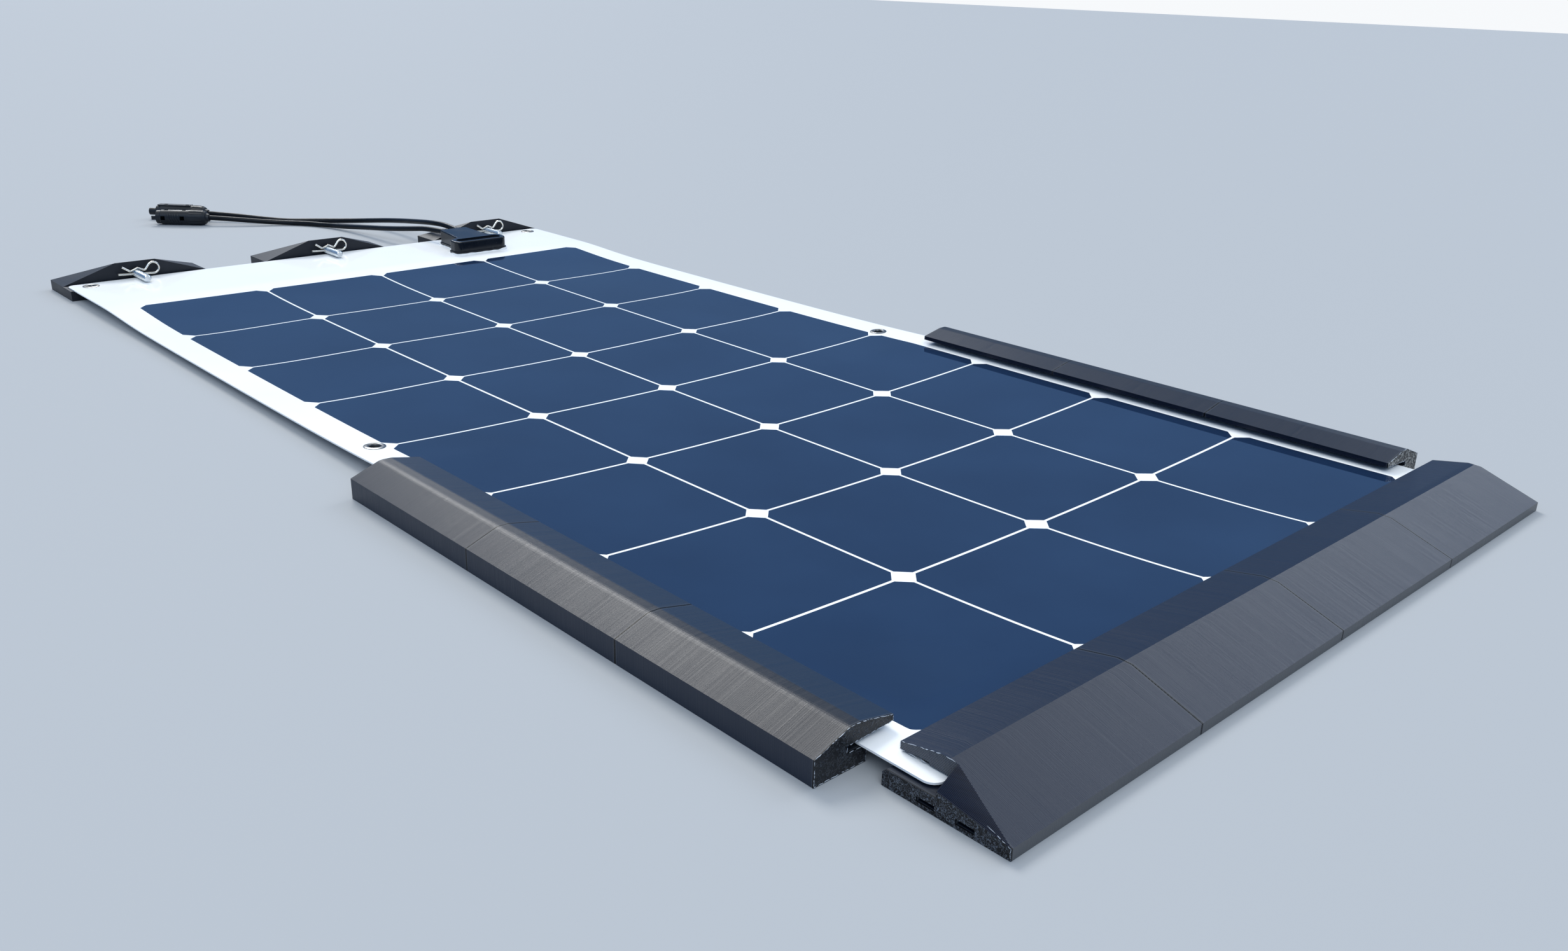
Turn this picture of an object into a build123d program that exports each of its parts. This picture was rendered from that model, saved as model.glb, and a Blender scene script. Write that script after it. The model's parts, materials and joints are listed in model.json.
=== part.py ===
"""Flexible solar sheet on a flat roof.

A semi-flexible laminate of 32 cells lies in a near rail and two side rails, printed in 145 mm
lengths.  Three printed brackets hold its far margin.  Each bracket carries a bolt that reaches
over the sheet, and an R-clip through the bolt stops it from drawing back out.  The junction box
sits on the far margin and has two leads, one with a plug and one with a socket.

Units are millimetres.  +X runs along the near rail, +Y along the sheet towards the junction box,
and +Z up from the roof, which is the plane z = 0.
"""
import math
import os

from build123d import *

os.makedirs("parts", exist_ok=True)

# Cells and laminate
cell_pitch = 127.0
cell_side = 124.8
cell_corner = 8.3
cell_columns = 4
cell_rows = 8
grid_y = -47.0
sheet_width = 560.0
sheet_near = -583.75
sheet_far = 584.25
sheet_corner = 7.0
sheet_length = sheet_far - sheet_near
sheet_y = (sheet_far + sheet_near) / 2
sheet_bottom = 9.0
backsheet_thickness = 0.5
rear_encapsulant_thickness = 0.7
cell_thickness = 0.2
front_encapsulant_thickness = 0.5
front_film_thickness = 0.3
ribbon_thickness = 0.15
encapsulant_bottom = sheet_bottom + backsheet_thickness
cell_bottom = encapsulant_bottom + rear_encapsulant_thickness
film_bottom = cell_bottom + front_encapsulant_thickness
sheet_top = film_bottom + front_film_thickness
ribbon_bottom = cell_bottom - ribbon_thickness

# Eyelets
eyelet_x = 261.0
eyelet_rows = (-569.75, -43.75, 570.25)
eyelet_flange_radius = 8.0
eyelet_hole_radius = 4.0
eyelet_barrel_radius = 4.7
eyelet_flange = 0.8
eyelet_clearance = 0.05

# Printed rails and brackets
print_length = 145.0
seam = 0.3
half_width = 308.5
half_length = 628.25
near_rail_left = -283.8
near_rail_lengths = 4
side_rail_near = -539.75
side_rail_lengths = 3
washer_pocket_radius = 9.0
washer_pocket_floor = 7.8
ridge_radius = 12.0

# Brackets, bolts and R-clips
bracket_centres = {"left": -210.5, "middle": 0.0, "right": 210.5}
bracket_near = 561.25
bracket_wall = 587.25
bracket_end_height = 10.0
bracket_ridge = 28.0
bracket_plateau = 40.0
bracket_wall_thickness = 10.0
pocket_clearance = 0.6
bolt_axis = 15.3
bolt_radius = 4.0
bolt_length = 45.0
bolt_play = 0.3
bolt_hole_radius = 4.06
bolt_head_flats = 13.0
bolt_head_height = 5.3
head_pocket_radius = 8.2
clip_plane_y = 582.25
clip_tilt = 3.5
wire_radius = 1.1
wire_hole_radius = 1.18
clip_leg_end = -19.5
loop_centre = (15.7, 5.75)
loop_radius = 5.75
loop_end_angle = 145.6

# Junction box
box_x = 149.0
box_front = 491.25
box_rear = 559.25
box_head_half = 33.5
box_neck_half = 21.0
box_rear_half = 17.5
box_floor = 3.0
box_wall = 2.0
box_front_top = 25.5
box_rear_top = 28.7
gland_offset = 9.5
gland_z = 24.3
gland_length = 8.0
gland_radius = 4.3
gland_end_radius = 3.7
tail_y = 500.0
tail_xs = (135.0, 149.0, 163.0)

# Leads
cable_radius = 3.1
fillet_share = 0.45
connector_z = 9.6


def write(piece, name):
    """Label a finished sub-part and write it to its own STEP file."""
    piece.label = name
    export_step(piece, "parts/" + name + ".step")


# ---------------------------------------------------------------- laminate
eyelet_places = [(side * eyelet_x, y) for side in (-1, 1) for y in eyelet_rows]
column_x = [(i - (cell_columns - 1) / 2) * cell_pitch for i in range(cell_columns)]
string_far = grid_y + cell_rows * cell_pitch / 2
string_near = grid_y - cell_rows * cell_pitch / 2
ribbon_width = 5.0

with BuildSketch(Plane.XY) as sheet_outline:
    with Locations((0, sheet_y)):
        RectangleRounded(sheet_width, sheet_length, sheet_corner)
    with Locations(*eyelet_places):
        Circle(eyelet_barrel_radius + eyelet_clearance, mode=Mode.SUBTRACT)

with BuildSketch(Plane.XY) as cell_outline:
    Rectangle(cell_side, cell_side)
    chamfer(cell_outline.vertices(), cell_corner)

with BuildSketch(Plane.XY) as tail_slots:
    with Locations(*[(x, tail_y) for x in tail_xs]):
        Rectangle(6, 1)

# Flat copper ribbons: two links at the near end, and three runs to the junction box
far_run_1 = string_far + 8
far_run_2 = string_far + 18
near_run = string_near - 6
with BuildSketch(Plane.XY) as ribbon_outline:
    for left, right in ((column_x[0], column_x[1]), (column_x[2], column_x[3])):
        with Locations(((left + right) / 2, near_run)):
            Rectangle(right - left + ribbon_width, ribbon_width)
        with Locations((left, near_run + 4), (right, near_run + 4)):
            Rectangle(ribbon_width, 12)
    runs = (
        (column_x[0], tail_xs[0], far_run_2),
        (column_x[1], tail_xs[1], far_run_1),
        (tail_xs[2], column_x[3], far_run_2),
    )
    for left, right, y in runs:
        with Locations(((left + right) / 2, y)):
            Rectangle(right - left + ribbon_width, ribbon_width)
    for x, y in ((column_x[0], far_run_2), (column_x[3], far_run_2)):
        with Locations((x, (y + string_far - 4) / 2)):
            Rectangle(ribbon_width, y - string_far + 4)
    for x in (column_x[1], column_x[2]):
        with Locations((x, (far_run_1 + string_far - 4) / 2)):
            Rectangle(ribbon_width, far_run_1 - string_far + 4)
    for x, y in ((tail_xs[0], far_run_2), (tail_xs[1], far_run_1), (tail_xs[2], far_run_2)):
        with Locations((x, (y + tail_y) / 2)):
            Rectangle(ribbon_width, tail_y - y)

with BuildSketch(Plane.XY) as interconnect_outline:
    with Locations((0, grid_y)):
        with GridLocations(cell_pitch, cell_pitch, cell_columns, cell_rows - 1):
            Rectangle(90, 6)

with BuildPart() as backsheet:
    with BuildSketch(Plane.XY.offset(sheet_bottom)):
        add(sheet_outline.sketch)
    extrude(amount=backsheet_thickness)
write(backsheet.part, "backsheet")

with BuildPart() as rear_encapsulant:
    with BuildSketch(Plane.XY.offset(encapsulant_bottom)):
        add(sheet_outline.sketch)
    extrude(amount=rear_encapsulant_thickness)
    with BuildSketch(Plane.XY.offset(ribbon_bottom)):
        add(ribbon_outline.sketch)
    extrude(amount=ribbon_thickness, mode=Mode.SUBTRACT)
    with BuildSketch(Plane.XY.offset(ribbon_bottom)):
        add(interconnect_outline.sketch)
    extrude(amount=ribbon_thickness, mode=Mode.SUBTRACT)
write(rear_encapsulant.part, "rear_encapsulant")

with BuildPart() as solar_cells:
    with BuildSketch(Plane.XY.offset(cell_bottom)):
        with Locations((0, grid_y)):
            with GridLocations(cell_pitch, cell_pitch, cell_columns, cell_rows):
                add(cell_outline.sketch)
    extrude(amount=cell_thickness)
write(solar_cells.part, "solar_cells")

with BuildPart() as cell_interconnects:
    with BuildSketch(Plane.XY.offset(ribbon_bottom)):
        add(interconnect_outline.sketch)
    extrude(amount=ribbon_thickness)
write(cell_interconnects.part, "cell_interconnects")

tail_top = sheet_top + box_floor + 2
with BuildPart() as bus_ribbons:
    with BuildSketch(Plane.XY.offset(ribbon_bottom)):
        add(ribbon_outline.sketch)
    extrude(amount=ribbon_thickness)
    with BuildSketch(Plane.XY.offset(ribbon_bottom)):
        with Locations(*[(x, tail_y - 0.15) for x in tail_xs]):
            Rectangle(ribbon_width, 0.3)
    extrude(amount=tail_top - ribbon_bottom)
write(bus_ribbons.part, "bus_ribbons")

with BuildPart() as front_encapsulant:
    with BuildSketch(Plane.XY.offset(cell_bottom)):
        add(sheet_outline.sketch)
    extrude(amount=front_encapsulant_thickness)
    with BuildSketch(Plane.XY.offset(cell_bottom)):
        with Locations((0, grid_y)):
            with GridLocations(cell_pitch, cell_pitch, cell_columns, cell_rows):
                add(cell_outline.sketch)
    extrude(amount=cell_thickness, mode=Mode.SUBTRACT)
    with BuildSketch(Plane.XY.offset(cell_bottom)):
        add(tail_slots.sketch)
    extrude(amount=front_encapsulant_thickness, mode=Mode.SUBTRACT)
write(front_encapsulant.part, "front_encapsulant")

with BuildPart() as front_film:
    with BuildSketch(Plane.XY.offset(film_bottom)):
        add(sheet_outline.sketch)
    extrude(amount=front_film_thickness)
    with BuildSketch(Plane.XY.offset(film_bottom)):
        add(tail_slots.sketch)
    extrude(amount=front_film_thickness, mode=Mode.SUBTRACT)
write(front_film.part, "front_film")

# Eyelets: a flange with its barrel above, and a washer below
with BuildPart() as eyelet_tops:
    with BuildSketch(Plane.XY.offset(sheet_top)):
        with Locations(*eyelet_places):
            Circle(eyelet_flange_radius)
            Circle(eyelet_hole_radius, mode=Mode.SUBTRACT)
    extrude(amount=eyelet_flange)
    with BuildSketch(Plane.XY.offset(sheet_bottom - eyelet_flange)):
        with Locations(*eyelet_places):
            Circle(eyelet_barrel_radius)
            Circle(eyelet_hole_radius, mode=Mode.SUBTRACT)
    extrude(amount=sheet_top - sheet_bottom + eyelet_flange)
    chamfer(eyelet_tops.edges().filter_by(GeomType.CIRCLE).group_by(Axis.Z)[-1], 0.3)
write(eyelet_tops.part, "eyelet_tops")

with BuildPart() as eyelet_washers:
    with BuildSketch(Plane.XY.offset(sheet_bottom - eyelet_flange)):
        with Locations(*eyelet_places):
            Circle(eyelet_flange_radius)
            Circle(eyelet_barrel_radius + eyelet_clearance, mode=Mode.SUBTRACT)
    extrude(amount=eyelet_flange)
write(eyelet_washers.part, "eyelet_washers")

# ---------------------------------------------------------------- near rail
near_front_height = 6.1
near_slot_back = 40.5
near_ridge = 20.4
near_crown_edge = 49.0
near_crown = 20.8
near_ledge_edge = 69.0
near_base_edge = 71.1
near_base_shoulder = 7.0
near_lip_edge = 73.0
near_lip_top = 16.0
lip_underside = 12.0
lip_left = -270.5
hip_end_height = 12.2
channel_height = 2.6
channel_z = 3.4
near_section = Plane((0, -half_length, 0), x_dir=(0, 1, 0), z_dir=(1, 0, 0))

# The left end slopes away as a hip, through the front corner, the slot's back and the ridge
hip_corner = Vector(near_rail_left, -half_length, near_front_height)
hip_foot = Vector(0, near_slot_back, hip_end_height - near_front_height)
hip_rise = Vector(lip_left - near_rail_left, near_slot_back, near_ridge - near_front_height)
hip_plane = Plane(hip_corner, x_dir=hip_foot, z_dir=hip_rise.cross(hip_foot))

for number in range(near_rail_lengths):
    start = near_rail_left + number * print_length
    length = print_length - (seam if number < near_rail_lengths - 1 else 0)
    lip_start = lip_left if number == 0 else start
    with BuildPart() as near_rail:
        with BuildSketch(near_section.offset(start)) as wedge:
            with BuildLine():
                Polyline(
                    (0, 0), (0, near_front_height), (near_slot_back, near_ridge),
                    (near_slot_back, 0), (0, 0),
                )
            make_face()
        extrude(amount=length)
        if number == 0:
            with BuildSketch(hip_plane):
                Rectangle(200, 200)
            extrude(amount=60, mode=Mode.SUBTRACT)
        with BuildSketch(near_section.offset(start)) as ledge:
            with BuildLine():
                Polyline(
                    (near_slot_back, 0), (near_slot_back, sheet_bottom), (near_ledge_edge, sheet_bottom),
                    (near_base_edge, near_base_shoulder), (near_base_edge, 0), (near_slot_back, 0),
                )
            make_face()
        extrude(amount=length)
        with BuildSketch(near_section.offset(lip_start)) as lip:
            with BuildLine():
                Polyline(
                    (near_slot_back, lip_underside), (near_slot_back, near_ridge),
                    (near_crown_edge, near_crown), (near_lip_edge, near_lip_top),
                    (near_lip_edge, lip_underside), (65.5, lip_underside),
                    (64.5, lip_underside + 1.2), (56.5, lip_underside + 1.2), (55.5, lip_underside),
                    (near_slot_back, lip_underside),
                )
            make_face()
        extrude(amount=start + length - lip_start)
        with BuildSketch(near_section.offset(start)) as channels:
            with Locations((46, channel_z), (24.25, channel_z)):
                Rectangle(10.2, channel_height)
        extrude(amount=length, mode=Mode.SUBTRACT)
        with BuildSketch(Plane.XY.offset(washer_pocket_floor)) as washer_pockets:
            with Locations((-eyelet_x, eyelet_rows[0]), (eyelet_x, eyelet_rows[0])):
                Circle(washer_pocket_radius)
        extrude(amount=sheet_bottom - washer_pocket_floor, mode=Mode.SUBTRACT)
    write(near_rail.part, "near_rail_" + str(number + 1))

# ---------------------------------------------------------------- side rails
side_slot_back = 20.0
side_base_edge = 33.0
side_profile = (
    (0, 0), (0, 14.2), (21.5, 22.3), (29.5, 22.1), (50.2, 17.7), (50.3, 14.4),
    (28.3, 13.2), (side_slot_back, 12.8), (side_slot_back, sheet_bottom),
    (side_base_edge, sheet_bottom), (side_base_edge, 0),
)
side_radii = (0, 0, ridge_radius, ridge_radius, 0, 0, 0, 0, 0, 2, 0)

for side, name in ((-1, "left_rail_"), (1, "right_rail_")):
    for number in range(side_rail_lengths):
        near_end = side_rail_near + number * print_length
        length = print_length - (seam if number < side_rail_lengths - 1 else 0)
        with BuildPart() as side_rail:
            with BuildSketch(Plane.XZ.offset(-near_end)) as profile:
                with BuildLine():
                    FilletPolyline(
                        *[(side * (half_width - u), z) for u, z in side_profile],
                        radius=side_radii,
                        close=True,
                    )
                make_face()
            extrude(amount=-length)
        write(side_rail.part, name + str(number + 1))

# ---------------------------------------------------------------- brackets
bracket_half = print_length / 2
for name, x in bracket_centres.items():
    with BuildPart() as bracket:
        with BuildSketch(Plane.XZ.offset(-bracket_wall)) as hips:
            with BuildLine():
                Polyline(
                    (x - bracket_half, 0), (x - bracket_half, bracket_end_height),
                    (x - bracket_plateau / 2, bracket_ridge), (x + bracket_plateau / 2, bracket_ridge),
                    (x + bracket_half, bracket_end_height), (x + bracket_half, 0),
                    (x - bracket_half, 0),
                )
            make_face()
        extrude(amount=-(half_length - bracket_wall))
        with BuildSketch(Plane.YZ.offset(x - bracket_half)) as slope:
            with BuildLine():
                Polyline(
                    (bracket_wall, 0), (bracket_wall, bracket_ridge), (half_length, bracket_end_height),
                    (half_length, 0), (bracket_wall, 0),
                )
            make_face()
        extrude(amount=print_length, mode=Mode.INTERSECT)
        with BuildSketch(Plane.XY) as foot:
            with Locations((x, (bracket_near + bracket_wall) / 2)):
                Rectangle(print_length, bracket_wall - bracket_near)
        extrude(amount=bracket_end_height)
        with BuildSketch(Plane.XY.offset(sheet_bottom)) as sheet_pocket:
            with Locations((0, sheet_y)):
                RectangleRounded(
                    sheet_width + 2 * pocket_clearance,
                    sheet_length + 2 * pocket_clearance,
                    sheet_corner + pocket_clearance,
                )
        extrude(amount=bracket_end_height - sheet_bottom, mode=Mode.SUBTRACT)
        with BuildSketch(Plane.XZ.offset(-bracket_wall)) as bolt_hole:
            with Locations((x, bolt_axis)):
                Circle(bolt_hole_radius)
        extrude(amount=-(half_length - bracket_wall), mode=Mode.SUBTRACT)
        with BuildSketch(Plane.XZ.offset(-bracket_wall - bracket_wall_thickness)) as head_pocket:
            with Locations((x, bolt_axis)):
                Circle(head_pocket_radius)
        extrude(amount=-(half_length - bracket_wall), mode=Mode.SUBTRACT)
        with BuildSketch(Plane.XY.offset(washer_pocket_floor)) as washer_pockets:
            with Locations((-eyelet_x, eyelet_rows[2]), (eyelet_x, eyelet_rows[2])):
                Circle(washer_pocket_radius)
        extrude(amount=sheet_bottom - washer_pocket_floor, mode=Mode.SUBTRACT)
    write(bracket.part, "bracket_" + name)

# ---------------------------------------------------------------- bolts
head_face = bracket_wall + bracket_wall_thickness + bolt_play
tilt = math.radians(clip_tilt)
for name, x in bracket_centres.items():
    clip_plane = Plane(
        (x, clip_plane_y, bolt_axis),
        x_dir=(math.cos(tilt), 0, -math.sin(tilt)),
        z_dir=(0, -1, 0),
    )
    cross_hole_plane = Plane(clip_plane.origin, x_dir=(0, 1, 0), z_dir=clip_plane.x_dir)
    with BuildPart() as bolt:
        with BuildSketch(Plane.XZ.offset(-head_face)) as shank:
            with Locations((x, bolt_axis)):
                Circle(bolt_radius)
        extrude(amount=bolt_length)
        chamfer(bolt.edges().filter_by(GeomType.CIRCLE).sort_by(Axis.Y)[0], 1.0)
        with BuildSketch(Plane.XZ.offset(-head_face)) as head:
            with Locations((x, bolt_axis)):
                RegularPolygon(bolt_head_flats / 2, 6, major_radius=False)
        extrude(amount=-bolt_head_height)
        chamfer(bolt.faces().sort_by(Axis.Y)[-1].edges(), 0.8)
        with BuildSketch(cross_hole_plane) as cross_hole:
            Circle(wire_hole_radius)
        extrude(amount=2 * bolt_radius, both=True, mode=Mode.SUBTRACT)
    write(bolt.part, "bolt_" + name)

    # The straight leg runs through the bolt and turns back in an open loop
    with BuildPart() as r_clip:
        with BuildLine(clip_plane) as loop_path:
            Line((clip_leg_end, 0), (loop_centre[0], 0))
            CenterArc(loop_centre, loop_radius, -90, loop_end_angle + 90)
        with BuildSketch(cross_hole_plane.offset(clip_leg_end)) as wire:
            Circle(wire_radius)
        sweep(path=loop_path.wires()[0])
    write(r_clip.part, "r_clip_" + name)

    # The sprung leg leaves the loop at its tangent, snaps over the bolt and flares at its tip
    with BuildPart() as spring_leg:
        with BuildLine(clip_plane) as leg_path:
            angle = math.radians(loop_end_angle)
            FilletPolyline(
                (
                    loop_centre[0] + loop_radius * math.cos(angle),
                    loop_centre[1] + loop_radius * math.sin(angle),
                ),
                (7, 3.2), (0, 6.1), (-7.4, 2.6), (-15.5, 7.5),
                radius=2.4,
            )
        with BuildSketch(Plane(leg_path.line @ 0, z_dir=leg_path.line % 0)) as leg_wire:
            Circle(wire_radius)
        sweep(path=leg_path.wires()[0])
    write(spring_leg.part, "r_clip_" + name + "_spring_leg")

# ---------------------------------------------------------------- junction box
box_joint = sheet_top + box_floor
with BuildSketch(Plane.XY) as box_outline:
    with BuildLine():
        FilletPolyline(
            (box_x - box_head_half, box_front), (box_x + box_head_half, box_front),
            (box_x + box_head_half, box_front + 17), (box_x + box_neck_half, box_front + 23),
            (box_x + box_rear_half, box_rear), (box_x - box_rear_half, box_rear),
            (box_x - box_neck_half, box_front + 23), (box_x - box_head_half, box_front + 17),
            radius=(8, 8, 4, 3, 3, 3, 3, 4),
            close=True,
        )
    make_face()

with BuildPart() as junction_box_base:
    with BuildSketch(Plane.XY.offset(sheet_top)):
        add(box_outline.sketch)
        offset(amount=1.2)
    extrude(amount=box_floor)
    with BuildSketch(Plane.XY.offset(box_joint)):
        add(box_outline.sketch)
        offset(amount=-box_wall - 0.1)
    extrude(amount=2)
    with BuildSketch(Plane.XY.offset(box_joint)):
        add(box_outline.sketch)
        offset(amount=-box_wall - 1.3)
    extrude(amount=2, mode=Mode.SUBTRACT)
    with BuildSketch(Plane.XY.offset(sheet_top)):
        add(tail_slots.sketch)
    extrude(amount=box_floor, mode=Mode.SUBTRACT)
write(junction_box_base.part, "junction_box_base")

with BuildPart() as junction_box_lid:
    with BuildSketch(Plane.XY.offset(box_joint)):
        add(box_outline.sketch)
    extrude(amount=20)
    with BuildSketch(Plane.YZ.offset(box_x - box_head_half)) as roof:
        with BuildLine():
            Polyline(
                (box_front, box_joint), (box_front, box_front_top), (box_rear, box_rear_top),
                (box_rear, box_joint), (box_front, box_joint),
            )
        make_face()
    extrude(amount=2 * box_head_half, mode=Mode.INTERSECT)
    fillet(junction_box_lid.faces().sort_by(Axis.Z)[-1].edges(), 1.6)
    with BuildSketch(Plane.XY.offset(box_joint)):
        add(box_outline.sketch)
        offset(amount=-box_wall)
    extrude(amount=box_front_top - box_joint - 4, mode=Mode.SUBTRACT)
    with BuildSketch(Plane.XY.offset(box_front_top - 1.2)) as recess:
        with Locations((box_x, box_front + 9.5)):
            RectangleRounded(57, 12, 5.9)
    extrude(amount=8, mode=Mode.SUBTRACT)
    with BuildSketch(Plane.XY.offset(box_joint)) as shoulder_ribs:
        with Locations((box_x - box_neck_half - 1.5, box_front + 24), (box_x + box_neck_half + 1.5, box_front + 24)):
            Rectangle(5, 2.4)
    extrude(amount=box_front_top - box_joint - 1.5)
write(junction_box_lid.part, "junction_box_lid")

with BuildPart() as junction_box_sealant:
    with BuildSketch(Plane.XY.offset(sheet_top)):
        add(box_outline.sketch)
        offset(amount=4.2)
    extrude(amount=2.2)
    chamfer(junction_box_sealant.faces().sort_by(Axis.Z)[-1].edges(), 1.6)
    with BuildSketch(Plane.XY.offset(sheet_top)):
        add(box_outline.sketch)
        offset(amount=1.2)
    extrude(amount=2.2, mode=Mode.SUBTRACT)
write(junction_box_sealant.part, "junction_box_sealant")

with BuildPart() as terminals:
    with BuildSketch(Plane.XY.offset(box_joint)):
        with Locations(*[(x, tail_y + 5) for x in tail_xs]):
            Rectangle(7, 10)
    extrude(amount=4)
write(terminals.part, "terminals")

diode_radius = 2.6
with BuildPart() as bypass_diodes:
    for x in (tail_xs[0] + 7, tail_xs[1] + 7):
        with BuildSketch(Plane.YZ.offset(x - 4.5)):
            with Locations((tail_y + 18, box_joint + diode_radius)):
                Circle(diode_radius)
        extrude(amount=9)
        for lead in (x - 4.5 - 2.4, x + 4.5):
            with BuildSketch(Plane.YZ.offset(lead)):
                with Locations((tail_y + 18, box_joint + diode_radius)):
                    Circle(0.6)
            extrude(amount=2.4)
write(bypass_diodes.part, "bypass_diodes")

# ---------------------------------------------------------------- leads
gland_xs = {"left": box_x - gland_offset, "right": box_x + gland_offset}
gland_end = box_rear + gland_length
cable_routes = {
    "left": (
        (gland_xs["left"], gland_end, gland_z), (134, 592, 25), (124.5, 622, 21), (117, 665, 15.5),
        (112, 714, 10), (105.5, 757, 5.2), (94, 793, 3.2), (78, 819, 3.1), (60, 836.5, 3.15),
        (36, 851, 5), (7, 870, 8), (-18, 891.25, connector_z),
    ),
    "right": (
        (gland_xs["right"], gland_end, gland_z), (157, 590, 27.3), (152.3, 621, 26), (153.4, 658, 21.6),
        (154.6, 698, 16.6), (150, 740, 11.4), (139, 781, 6), (121.5, 811, 3.3), (95, 831.5, 3.1),
        (66.5, 847.5, 3.2), (42, 871.5, 5.4), (17.5, 898, 8), (-7, 923.25, connector_z),
    ),
}


def arc_radii(points):
    """Radius at each corner of a route: a share of its shorter run over the tangent of half the turn."""
    corners = [Vector(point) for point in points]
    radii = []
    for before, corner, after in zip(corners, corners[1:], corners[2:]):
        arriving = corner - before
        leaving = after - corner
        half_turn = math.radians(arriving.get_angle(leaving) / 2)
        radii.append(fillet_share * min(arriving.length, leaving.length) / math.tan(half_turn))
    return radii


for name, route in cable_routes.items():
    # A moulded strain relief turns from the box's wall to the lead's own direction
    with BuildPart() as cable_gland:
        with BuildSketch(Plane.XZ.offset(-box_rear)):
            with Locations((gland_xs[name], gland_z)):
                Circle(gland_radius)
        with BuildSketch(Plane(route[0], z_dir=Vector(route[1]) - Vector(route[0]))):
            Circle(gland_end_radius)
        loft()
    write(cable_gland.part, "cable_gland_" + name)

    radii = arc_radii(route)
    with BuildPart() as cable:
        with BuildLine() as cable_path:
            FilletPolyline(*route, radius=radii)
        with BuildSketch(Plane(cable_path.line @ 0, z_dir=cable_path.line % 0)) as cable_section:
            Circle(cable_radius)
        sweep(path=cable_path.wires()[0])
    cable_length = cable_path.wires()[0].length
    expected = math.pi * cable_radius**2 * cable_length
    print(name, "cable radii", [round(radius) for radius in radii])
    print(name, "cable length", round(cable_length, 1), "volume", round(cable.part.volume), round(expected))
    write(cable.part, "cable_" + name)

# ---------------------------------------------------------------- connectors
connectors = {
    "plug": (cable_routes["left"][-1], 139.5),
    "socket": (cable_routes["right"][-1], 133.5),
}
nut_length = {"plug": 26.0, "socket": 22.0}
body_length = {"plug": 66.0, "socket": 68.0}
for name, (start, heading) in connectors.items():
    nut = nut_length[name]
    end = body_length[name]
    direction = (math.cos(math.radians(heading)), math.sin(math.radians(heading)), 0)
    lengthwise = Plane(start, x_dir=direction, z_dir=(0, 0, 1))
    across = Plane(start, x_dir=(0, 0, 1), z_dir=direction)
    axis = Axis(start, direction)

    with BuildPart() as cap_nut:
        with BuildSketch(lengthwise):
            with BuildLine():
                Polyline(
                    (0, 3.15), (0, 4.7), (3, 5.4), (4, 7.6), (7, 9.1), (nut - 0.2, 9.5),
                    (nut - 0.2, 7.7), (8, 7.7), (6, 3.15), (0, 3.15),
                )
            make_face()
        revolve(axis=axis)
    write(cap_nut.part, name + "_cap_nut")

    with BuildPart() as seal:
        with BuildSketch(lengthwise):
            with Locations((13, 4.3)):
                Rectangle(8, 2.2)
        revolve(axis=axis)
    write(seal.part, name + "_seal")

    with BuildPart() as contact:
        with BuildSketch(across.offset(nut - 4)):
            Circle(1.9)
        extrude(amount=end - nut - 2)
    write(contact.part, name + "_contact")

    with BuildPart() as body:
        with BuildSketch(lengthwise):
            with BuildLine():
                Polyline(
                    (10, 5.6), (10, 7.6), (nut, 7.6), (nut, 9.3), (end - 6, 9.3), (end - 5, 8.6),
                    (end, 8.6), (end, 1.95), (nut - 4, 1.95), (nut - 4, 5.6), (10, 5.6),
                )
            make_face()
        revolve(axis=axis)
        if name == "plug":
            with BuildSketch(across.offset(end)) as mouth:
                Circle(6.6)
                Circle(4.6, mode=Mode.SUBTRACT)
            extrude(amount=-9, mode=Mode.SUBTRACT)
            with BuildSketch(across.offset(end - 14)) as latch_arms:
                with Locations((0, 7.3), (0, -7.3)):
                    Rectangle(5, 2.4)
            extrude(amount=19)
        else:
            with BuildSketch(across.offset(end)) as nose:
                Circle(4.6)
                Circle(1.95, mode=Mode.SUBTRACT)
            extrude(amount=11)
            with BuildSketch(across.offset(nut)) as key_rails:
                with Locations((9.2, 0)):
                    Rectangle(1.6, 9)
            extrude(amount=end - nut - 2)
        for place in (nut + 5, end - 12):
            with BuildSketch(lengthwise.offset(7.9)) as window:
                with Locations((place, 0)):
                    Rectangle(5, 5)
            extrude(amount=3, mode=Mode.SUBTRACT)
    write(body.part, name + "_body")
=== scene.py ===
"""Dresses the flexible solar sheet for rendering.

Every length is in metres, in the part's own frame: +X along the near rail, +Y towards the
junction box, +Z up from the roof.  MM turns millimetres into metres.
"""
import json
import math
import random

import bmesh
import bpy
from mathutils import Matrix, Vector


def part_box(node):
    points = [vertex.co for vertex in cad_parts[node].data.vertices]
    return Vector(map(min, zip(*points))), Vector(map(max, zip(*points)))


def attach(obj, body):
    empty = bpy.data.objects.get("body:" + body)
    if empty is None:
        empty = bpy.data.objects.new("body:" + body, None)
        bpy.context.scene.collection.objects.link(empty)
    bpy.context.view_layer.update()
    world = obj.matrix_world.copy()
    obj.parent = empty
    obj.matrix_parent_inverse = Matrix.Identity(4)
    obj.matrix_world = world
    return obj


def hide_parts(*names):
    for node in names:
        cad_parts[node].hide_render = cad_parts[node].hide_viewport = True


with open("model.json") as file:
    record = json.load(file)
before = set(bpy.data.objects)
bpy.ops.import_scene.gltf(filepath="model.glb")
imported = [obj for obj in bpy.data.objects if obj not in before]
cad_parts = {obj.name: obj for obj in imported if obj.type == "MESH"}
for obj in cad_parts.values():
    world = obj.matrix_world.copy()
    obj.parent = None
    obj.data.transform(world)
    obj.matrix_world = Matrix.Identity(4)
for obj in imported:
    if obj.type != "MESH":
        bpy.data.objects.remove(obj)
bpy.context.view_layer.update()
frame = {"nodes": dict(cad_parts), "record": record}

MM = 0.001
ROOT = "root"
SIDES = ("left", "middle", "right")

# ------------------------------------------------------------------ small helpers


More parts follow.
